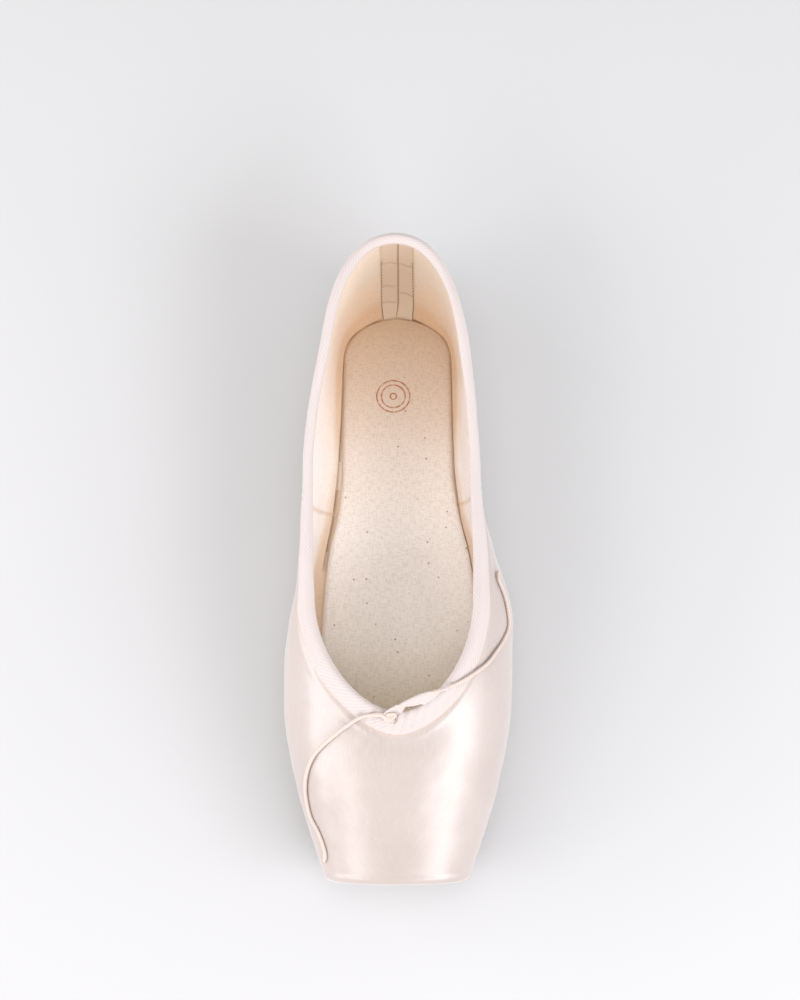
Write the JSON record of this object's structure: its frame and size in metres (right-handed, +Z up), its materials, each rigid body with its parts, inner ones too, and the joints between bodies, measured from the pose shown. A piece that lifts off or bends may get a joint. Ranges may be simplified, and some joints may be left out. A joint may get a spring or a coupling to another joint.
{
  "type": "pointe shoe",
  "caption": "Satin pointe shoe with a flat platform, stiffened toe box, twill drawstring casing round the mouth, canvas sock and leather outsole.",
  "frame": {"origin": "on the floor, under the middle of the shoe's box", "axes": "+Z up, -Y towards the platform, +Y towards the heel, +X towards the right of the picture, which shows the shoe from above with its heel up"},
  "size_m": [0.0846, 0.2374, 0.0577],
  "materials": {
    "satin": "pale pink satin over a stiffened box",
    "binding_twill": "pinkish white twill tape",
    "sock_canvas": "plain woven cotton",
    "outsole_leather": "matt suede",
    "drawstring_cotton": "woven cotton cord"
  },
  "bodies": {
    "root": {"upper": "satin", "collar_binding": "binding_twill", "insole": "sock_canvas", "outsole": "outsole_leather", "drawstring_knot": "drawstring_cotton", "drawstring_left": "drawstring_cotton", "drawstring_right": "drawstring_cotton"}
  },
  "joints": []
}
